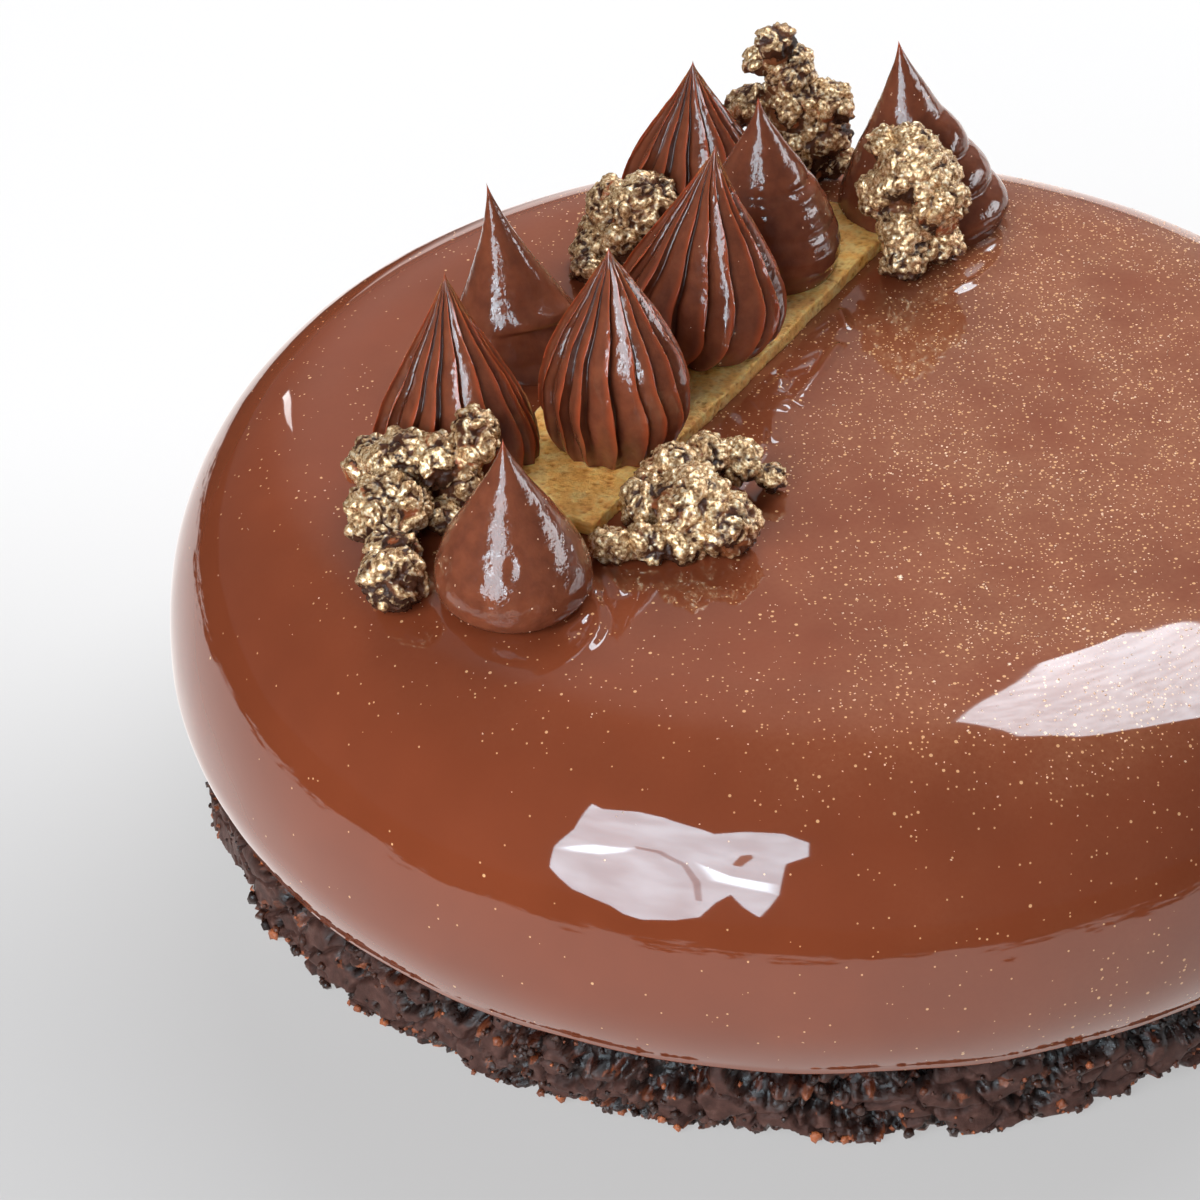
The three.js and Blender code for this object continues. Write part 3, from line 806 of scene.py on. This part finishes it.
# Each kiss: middle, floor, height and lean; radius; flank; then its sway, kink and seed, or its
# seed and what is its own.
PLEATED = {
    "kiss_left_ridged": (
        (-48.2, -13.7, CAKE_TOP, 29.0, -0.4), 11.0, (0.21, 0.41, 1, 1.44), 0.12, 0.03, 41),
    "kiss_middle_ridged": (
        (-27.3, -11.0, STRIP_TOP, 29.1, -0.3), 9.8, (0.21, 0.82, 1, 1.39), -0.1, 0.07, 43),
    "kiss_right_ridged": (
        (-17.7, 14.7, STRIP_TOP, 30.1, 3.1), 12.0, (0.03, 0.32, 1, 1.46), 0.35, 0.16, 45),
    "kiss_back_ridged": (
        (-18.8, 53.0, CAKE_TOP, 25.1, -0.2), 10.5, (0.05, 0.4, 1, 1.48), 0.15, 0.05, 47),
}
SMOOTH = {
    "kiss_front_smooth": (
        (-38.4, -44.7, CAKE_TOP, 23.7, -0.7), 10.0, (0.08, 0.41, 1, 1.51), 51, front_extra),
    "kiss_back_left_smooth": (
        (-41.9, 15.8, CAKE_TOP, 25.7, -3.7), 10.6, (0.17, 0.09, 1, 1.39), 53, lapped_extra),
    "kiss_right_smooth": (
        (-7.7, 35.0, STRIP_TOP, 26.7, -1.7), 10.0, (0.12, 0.19, 1.7, 1.6), 55, drum_extra),
    "kiss_far_smooth": (
        (13.9, 54.0, CAKE_TOP, 27.8, -3.8), 12.0, (0.07, 0.13, 1, 1.27), 57, far_extra),
}
ganache_material = ganache_finish()
piped = {node: pleated_kiss(*facts) for node, facts in PLEATED.items()}
piped.update({node: smooth_kiss(*facts) for node, facts in SMOOTH.items()})
for node, (rings, edge, hollow) in piped.items():
    add_piece(
        node + "_cream", closed_rings(rings), ring_faces(*rings.shape[:2]), "piped_cream",
        ganache_material, node, edge=with_ends(edge, tip=1.0), hollow=with_ends(hollow))


# ------------------------------------------------------------------ gilded crumble
# The crumble: clusters of caramel-bound nut and biscuit crumbs, rolled in chocolate, set with
# a dab of glaze and brushed with gold powder, which catches on everything that stands out.
BIG_CRUMB = 3.1
SMALL_CRUMB = 1.5
CRUMBLE_CELL = 0.3


def read_rows(items, word, width, kind=np.float32):
    """What each point or face of a mesh holds under a word, one row for each."""
    values = np.empty(len(items) * width, kind)
    items.foreach_get(word, values)
    return values.reshape(-1, width)


def crumble_lumps(node):
    """A finely gridded copy of a cluster's solid: its points, outward ways and faces."""
    model = bpy.data.objects.new(node + "_grid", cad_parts[node].data.copy())
    bpy.context.scene.collection.objects.link(model)
    model.modifiers.new("weld", "WELD").merge_threshold = 0.01 * MM
    remesh = model.modifiers.new("remesh", "REMESH")
    remesh.mode = "VOXEL"
    remesh.voxel_size = CRUMBLE_CELL * MM
    shaped = model.evaluated_get(bpy.context.evaluated_depsgraph_get()).to_mesh()
    points, normals = read_rows(shaped.vertices, "co", 3), read_rows(shaped.vertices, "normal", 3)
    faces = read_rows(shaped.polygons, "vertices", 4, np.int32)
    bpy.data.meshes.remove(model.data)
    return points.astype(float) / MM, normals, faces


def creases(points, grain, salt):
    """Round humps with sharp creases between them, 0 to 1: the size of smooth noise."""
    return np.clip(np.abs(unevenness(points, grain, salt)) * 2.2, 0, 1)


def crumble_relief(points, salt):
    """How far the crumbs stand out: flat-topped lumps of two sizes round scattered seeds, under
    a crumpled coat of humps and fine crests that comes and goes with smooth noise. Also how
    high a place stands, and a number that belongs to its lump, both from 0 to 1."""
    bent = points + 0.8 * np.stack([unevenness(points, 2.3, salt + axis) for axis in range(3)], -1)
    near, second, owner = pebbles(bent, BIG_CRUMB, salt)
    big = smooth_step(0.0, 0.22, second - near) * (0.45 + 0.55 * owner)
    near, second, small_owner = pebbles(bent, SMALL_CRUMB, salt + 1)
    small = smooth_step(0.0, 0.3, second - near) * (0.3 + 0.7 * small_owner)
    humps = creases(bent, 2.2, salt + 2)
    crests = 1 - creases(bent * [1, 1, 1.3], 1.0, salt + 4)
    swell = unevenness(points, 4.5, salt + 3)
    rough = 0.5 + 0.8 * smooth_step(-0.35, 0.4, unevenness(points, 6.0, salt + 5))
    coat = 0.26 * small + 0.5 * humps + 0.22 * crests
    relief = 0.62 * big + rough * coat + 0.4 * swell
    high = 0.3 * big + 0.16 * small + 0.32 * humps + 0.28 * crests + 0.25 * swell
    return relief - 0.52, np.clip(high, 0, 1), owner


def crumble_finish():
    """Gilded crumble: gold powder on all that stands out, from pale champagne to old gold, over dark
    caramel and chocolate that shows in the dips and on the undersides, whose darkness is also painted
    shade, with a few rust red nut skins."""
    material, tree, shader = new_material("gilded crumble")
    patch = add_math(tree, "MULTIPLY", add_noise(tree, 1.3, 4, 0.6), 0.5)
    raised = add_math(tree, "ADD", add_number(tree, "high"), patch)
    # Partly painted shade: the gold follows what stands out, so the dark bare colour fills the dips
    # where shade falls.
    gilt_and_shade = add_range(tree, raised, 0.52, 0.76, kind="LINEAR")
    gold = add_ramp(
        tree, add_noise(tree, 0.55, 3, 0.6), (0.3, 122, 84, 56), (0.45, 188, 146, 102),
        (0.56, 240, 206, 158), (0.66, 255, 244, 216))
    bare = add_ramp(
        tree, add_number(tree, "crumb"), (0.0, 52, 30, 20), (0.55, 78, 46, 31), (0.8, 112, 68, 42),
        (0.93, 142, 76, 46))
    set_sockets(tree, shader, {
        "Base Color": add_mix(tree, gilt_and_shade, bare, gold),
        "Metallic": add_math(tree, "MULTIPLY", gilt_and_shade, 0.6),
        "Specular IOR Level": add_math(tree, "MULTIPLY_ADD", gilt_and_shade, 0.3, 0.2),
        "Roughness": add_ramp(tree, add_noise(tree, 0.6, 3), (0.35, 0.12), (0.7, 0.3)),
        "Normal": add_bump(tree, add_noise(tree, 0.3, 3, 0.6), 0.4, 0.3),
    })
    return material


crumble_material = crumble_finish()
# How much more or less of each cluster the gold covers, and how much less its underside: less gold
# powder reaches it, and its bare dark colour there is also painted shade.
UNDERSIDE_BARE_AND_SHADE = 0.45
CLUSTERS = {"crumble_left": -0.06, "crumble_right_front": 0.02, "crumble_middle_left": -0.03,
            "crumble_back": -0.08, "crumble_right": 0.06}
for number, (node, more) in enumerate(CLUSTERS.items()):
    points, normals, faces = crumble_lumps(node)
    relief, high, crumb = crumble_relief(points, 60 + 10 * number)
    # Less gold on the undersides, which also paints them darker as shade.
    high = high + more - UNDERSIDE_BARE_AND_SHADE * smooth_step(-0.1, 0.7, -normals[:, 2])
    points = points + normals * relief[:, None]
    points[:, 2] = np.maximum(points[:, 2], CAKE_TOP - 0.25)
    add_piece(
        node + "_crumbs", points, [faces], "crumble", crumble_material, node, high=high, crumb=crumb)


# ------------------------------------------------------------------ gold dust
# The gold: coarse flakes of edible gold leaf powder, shaken over the glaze while it was still
# tacky. They lie thickest on the right of the top, and a few large ones stand out.
FLAKE_COUNT = 7500
FLAKE_SIDES = 5
DUSTED_REACH = 85.5
FLAKED_KISSES = {"kiss_front_smooth": 70, "kiss_far_smooth": 90, "kiss_right_ridged": 60,
                 "kiss_right_smooth": 50}
LARGE_FLAKES = [(23.3, -57.9, 0.75), (21.8, -61.3, 0.6), (21.5, -63.2, 0.55), (27.4, -64.3, 0.55),
                (24.5, -53.5, 0.5), (30.8, -48.0, 0.5), (19.9, -46.0, 0.45), (10.1, -39.6, 0.8)]


def glaze_at(flat):
    """The glaze's surface over places seen from above: points on it and the ways it faces, read
    off the profile at each place's distance from the middle and moved out by the relief."""
    profile = mousse_profile()
    profile = profile[profile[:, 1] > BELLY_HEIGHT][::-1]
    distance = np.hypot(flat[:, 0], flat[:, 1])
    height = np.interp(distance, profile[:, 0], profile[:, 1])
    slope = np.interp(distance, profile[:, 0], -np.gradient(profile[:, 1], profile[:, 0]))
    ways = unit(np.column_stack([flat * (slope / distance)[:, None], np.ones(len(flat))]))
    points = np.column_stack([flat, height])
    return points + ways * glaze_relief(points)[:, None], ways


def flake_mesh(middles, ways, sizes, luck):
    """One low pointed plate for each flake: a ring of uneven points round a raised middle, in
    the plane across the way it faces, tipped a little. The rim dips into the glaze."""
    tipped = unit(ways + luck.normal(0, 0.2, ways.shape))
    side = unit(np.cross(tipped, luck.normal(0, 1, ways.shape)))
    turn = 2 * np.pi * np.arange(FLAKE_SIDES) / FLAKE_SIDES
    reach = sizes[:, None] / 2 * luck.uniform(0.6, 1.25, (len(ways), FLAKE_SIDES))
    rim = middles[:, None] + (reach * np.cos(turn))[..., None] * side[:, None]
    rim = rim + (reach * np.sin(turn))[..., None] * np.cross(tipped, side)[:, None]
    foot = middles - ways * 0.3 * sizes[:, None]
    top = middles + tipped * 0.14 * sizes[:, None]
    return copied_rings(np.concatenate([rim, foot[:, None], top[:, None]], 1), 1, FLAKE_SIDES)


def scattered_flakes():
    """Places drawn evenly over the top and shoulder, each kept by the chance that the dust is
    thick there, small flakes commonest; then some at random places of the kisses' rings, and
    the large ones."""
    luck = np.random.default_rng(91)
    distance = DUSTED_REACH * np.sqrt(luck.uniform(0, 1, FLAKE_COUNT * 4))
    turn = luck.uniform(0, 2 * np.pi, FLAKE_COUNT * 4)
    middles, ways = glaze_at(distance[:, None] * circle(turn))
    thickness = dust_thickness(middles)
    kept = np.flatnonzero(luck.uniform(0, 1, len(turn)) < thickness ** 1.25)[:FLAKE_COUNT]
    sizes = (0.16 + 0.34 * luck.uniform(0, 1, len(kept)) ** 2.6) * (0.7 + 0.3 * thickness[kept])
    groups = [(middles[kept], ways[kept], sizes)]
    for node, share in FLAKED_KISSES.items():
        rings = piped[node][0]
        rows = luck.integers(int(0.06 * KISS_ROWS), int(0.75 * KISS_ROWS), share)
        spots = rings[rows, luck.integers(0, rings.shape[1], share)]
        out = spots - rings[rows].mean(1)
        out[:, 2] = 0.4 * np.linalg.norm(out[:, :2], axis=1)
        groups.append((spots, unit(out), luck.uniform(0.16, 0.36, share)))
    large = np.array(LARGE_FLAKES)
    groups.append((*glaze_at(large[:, :2]), large[:, 2]))
    return flake_mesh(*(np.concatenate(group) for group in zip(*groups)), luck)


def flake_finish():
    """Edible gold: pale warm metal with a satin shine."""
    material, tree, shader = new_material("gold flakes")
    colour = add_ramp(tree, add_noise(tree, 1.2, 2), (0.35, 236, 186, 146), (0.65, 255, 222, 194))
    set_sockets(tree, shader, {"Base Color": colour, "Metallic": 0.35, "Roughness": 0.35})
    return material


add_piece("gold_flakes", *scattered_flakes(), "glaze", flake_finish())


# ------------------------------------------------------------------ studio
# Not part of the cake: a plain pale floor, a pale room, and two soft windows that light the cake
# with a few shapes that only its shiny pieces mirror.
PICTURE_LENS = 120.0
EYE_HEIGHT = 0.04
CAMERA_PLACE = (0.0, -0.45661, 0.34111)
CAMERA_TURN = ((0.998413, -0.012551, 0.054894), (0.052176, 0.572836, -0.818008),
               (-0.021178, 0.819574, 0.572581))


def stage_sheet(name, corners, material, faces=None):
    """One flat sheet of the set, a single many-cornered face where no faces are given."""
    mesh = bpy.data.meshes.new(name)
    mesh.from_pydata(corners, [], faces or [list(range(len(corners)))])
    mesh.materials.append(material)
    sheet = bpy.data.objects.new(name, mesh)
    bpy.context.scene.collection.objects.link(sheet)
    sheet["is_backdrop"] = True
    sheet.visible_camera = False
    return sheet


def glow(name, strength, colour, edge):
    """A material that only shines: cloudily, or from the edge's strength up to its own."""
    material, tree, shader = new_material(name)
    if edge is None:
        shine = add_range(tree, add_noise(tree, 110, 3), 0.3, 0.7, 0.72 * strength, strength)
    else:
        shine = add_range(tree, add_number(tree, "inner"), 0.0, 0.5, edge, strength)
    set_sockets(tree, shader, {
        "Base Color": grey(0), "Specular IOR Level": 0.0, "Emission Color": colour,
        "Emission Strength": shine,
    })
    return material


def window(name, azimuth, distance, corners, strength, colour=grey(1), mirrored=True, edge=None):
    """A shining sheet across one direction from the cake, either only mirrored or one that only
    lights. Its corners are the azimuth and elevation in which the middle of the cake sees them,
    in degrees; azimuth 0 is +Y and 90 is +X. Where it is dimmer at its edge, it is a fan of
    triangles, with an attribute from 0 at the edge to 1 in the middle."""
    turn, elevation = np.radians(corners).T
    reach = distance / np.cos(turn - math.radians(azimuth))
    height = EYE_HEIGHT + reach * np.tan(elevation)
    points = np.column_stack([reach * np.sin(turn), reach * np.cos(turn), height])
    material = glow(name, strength, colour, edge)
    if edge is None:
        sheet = stage_sheet(name, points.tolist(), material)
    else:
        count = len(points)
        fan = [(corner, (corner + 1) % count, count) for corner in range(count)]
        sheet = stage_sheet(name, [*points.tolist(), points.mean(0).tolist()], material, fan)
        sheet.data.attributes.new("inner", "FLOAT", "POINT").data[count].value = 1.0
    sheet.visible_shadow = False
    sheet.visible_diffuse = not mirrored
    sheet.visible_glossy = mirrored


# The front window has a cut-up outline, two brighter gaps, a bent dark bar and a dark spot.
FRONT_CORNERS = [
    (220, 7), (221, 16), (220, 26), (222, 41), (219, 40), (214, 43), (208, 43), (203, 41), (198, 39),
    (193, 42), (186, 43), (181, 39), (181, 32), (185, 28), (186, 14), (188, 3), (190, 7), (192, 12),
    (194, 8), (196, 1), (200, -2), (205, -4), (208, -3), (210, -1), (216, 1),
]
LEFT_GAP = [(221, 15), (215, 22), (208, 26), (209, 23), (213, 18), (218, 15)]
RIGHT_GAP = [(200, 25), (193, 20), (186, 18), (186, 13), (191, 15), (196, 17)]
BENT_BAR = [(209, 26), (204, 26.5), (200, 23), (197, 16), (196, 8), (197, 8), (198, 15), (200.5, 22),
            (204.5, 25.2), (208.5, 25)]
DARK_THING = [(193, 25), (192, 30), (190.5, 31), (190, 29.5), (191.5, 24.5)]
SIDE_CORNERS = [(20, 66), (13, 57), (9, 47), (6, 39), (8, 38), (12, 41), (18, 44), (88, 48), (88, 57),
                (83, 66), (61, 72)]
FAR_LAMP = [(329.3, 12), (330.5, 13), (330.6, 19), (330, 24), (329.2, 20)]
RIGHT_CORNERS = [(60, 8), (99, 7), (99, 18), (60, 20)]
PALE_BLUE = (0.72, 0.89, 1.0, 1)
window("front_window_seen", 202, 0.60, FRONT_CORNERS, 12.5, PALE_BLUE)
window("left_gap_seen", 202, 0.595, LEFT_GAP, 26.0, PALE_BLUE, edge=11.0)
window("right_gap_seen", 202, 0.595, RIGHT_GAP, 26.0, PALE_BLUE, edge=11.0)
window("bent_bar_seen", 202, 0.594, BENT_BAR, 6.0, PALE_BLUE)
window("dark_thing_seen", 202, 0.594, DARK_THING, 2.0, (1, 0.8, 0.7, 1))
window("side_window_seen", 50, 1.0, SIDE_CORNERS, 11.5, (0.82, 0.92, 1.0, 1))
window("far_lamp_seen", 330, 1.5, FAR_LAMP, 6.0)
window("right_window_seen", 80, 1.0, RIGHT_CORNERS, 9.5, (0.9, 0.95, 1.0, 1))
window("front_light", 209, 0.60, [(180, 5), (238, 5), (238, 45), (180, 45)], 6.6, mirrored=False)
window("back_light", 10, 1.0, [(-22, 20), (48, 20), (48, 45), (-22, 45)], 12.0, mirrored=False)


def floor_finish():
    """Plain pale floor: matt, with a painted glow that is brighter towards the back."""
    material, tree, shader = new_material("pale floor")
    parts = add_node(tree, "ShaderNodeSeparateXYZ", {"Vector": add_place(tree)})
    # Painted light: the floor glows by itself, dimmer at the front and brighter at the back.
    set_sockets(tree, shader, {
        "Base Color": (0.16, 0.16, 0.165, 1), "Roughness": 0.9, "Specular IOR Level": 0.1,
        "Emission Color": grey(1),
        "Emission Strength": add_range(tree, parts.outputs["Y"], -0.08, 0.09, 0.44, 0.76),
    })
    return material


def mirrored_floor_finish():
    """What the glaze mirrors of the floor: bright near the cake, up to a wavy edge, and at the
    right of the back, and dark elsewhere."""
    material, tree, shader = new_material("mirrored floor")
    parts = add_node(tree, "ShaderNodeSeparateXYZ", {"Vector": add_place(tree)})
    x, y = parts.outputs["X"], parts.outputs["Y"]
    flat = add_node(tree, "ShaderNodeCombineXYZ", {"X": x, "Y": y}).outputs[0]
    away = add_node(tree, "ShaderNodeVectorMath", {0: flat}, operation="LENGTH").outputs["Value"]
    ragged = add_math(tree, "SUBTRACT", add_noise(tree, 60, 8, 0.75), 0.5)
    disc = add_range(tree, add_math(tree, "MULTIPLY_ADD", ragged, 0.36, away), 0.222, 0.227, 1.0, 0.0)
    rightward = add_range(tree, add_math(tree, "MULTIPLY_ADD", y, 0.36, x), -0.02, 0.05)
    back = add_math(tree, "MULTIPLY", add_range(tree, y, 0.165, 0.2), rightward)
    lit = add_math(tree, "MAXIMUM", back, disc)
    set_sockets(tree, shader, {
        "Base Color": grey(0), "Specular IOR Level": 0.0, "Emission Strength": 1.2,
        "Emission Color": add_mix(tree, lit, (0.03, 0.025, 0.02, 1), (1.0, 0.95, 0.93, 1)),
    })
    return material


FLOOR_REACH = 6.0
MIRROR_DROP = 0.0005
floor_corners = FLOOR_REACH * np.array([(-1, -1, 0), (1, -1, 0), (1, 1, 0), (-1, 1, 0)])
floor = stage_sheet("floor", floor_corners.tolist(), floor_finish())
floor.visible_camera = True
floor.visible_glossy = False
mirrored_floor = stage_sheet(
    "mirrored_floor", (floor_corners - [0, 0, MIRROR_DROP]).tolist(), mirrored_floor_finish())
for rays in ("diffuse", "shadow", "transmission"):
    setattr(mirrored_floor, "visible_" + rays, False)

BACK_GLOW = (0.10, 0.80, 0.59)
world = bpy.data.worlds.new("pale room")
bpy.context.scene.world = world
world.use_nodes = True
room = world.node_tree
way = add_node(room, "ShaderNodeTexCoord").outputs["Generated"]
facing = add_node(room, "ShaderNodeVectorMath", {0: way, 1: BACK_GLOW}, operation="DOT_PRODUCT")
near_back = add_range(room, facing.outputs["Value"], 0.72, 0.93)
lit_room = add_ramp(room, near_back, (0.0, 0.1), (1.0, 0.4))
seen = add_node(room, "ShaderNodeLightPath").outputs["Is Camera Ray"]
backdrop = add_mix(room, seen, lit_room, (0.965, 0.965, 0.97, 1))
set_sockets(room, room.nodes["Background"], {"Color": backdrop})

camera_data = bpy.data.cameras.new("camera")
camera_data.lens = PICTURE_LENS
camera_data.sensor_width = 36.0
camera_data.clip_start = 0.01
camera_data.clip_end = 30.0
camera = bpy.data.objects.new("camera", camera_data)
bpy.context.scene.collection.objects.link(camera)
rows = [[*row, place] for row, place in zip(CAMERA_TURN, CAMERA_PLACE)]
camera.matrix_world = Matrix([*rows, [0, 0, 0, 1]])
bpy.context.scene.camera = camera
bpy.context.scene.view_settings.view_transform = "Standard"
bpy.context.scene.view_settings.look = "None"

low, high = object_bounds()
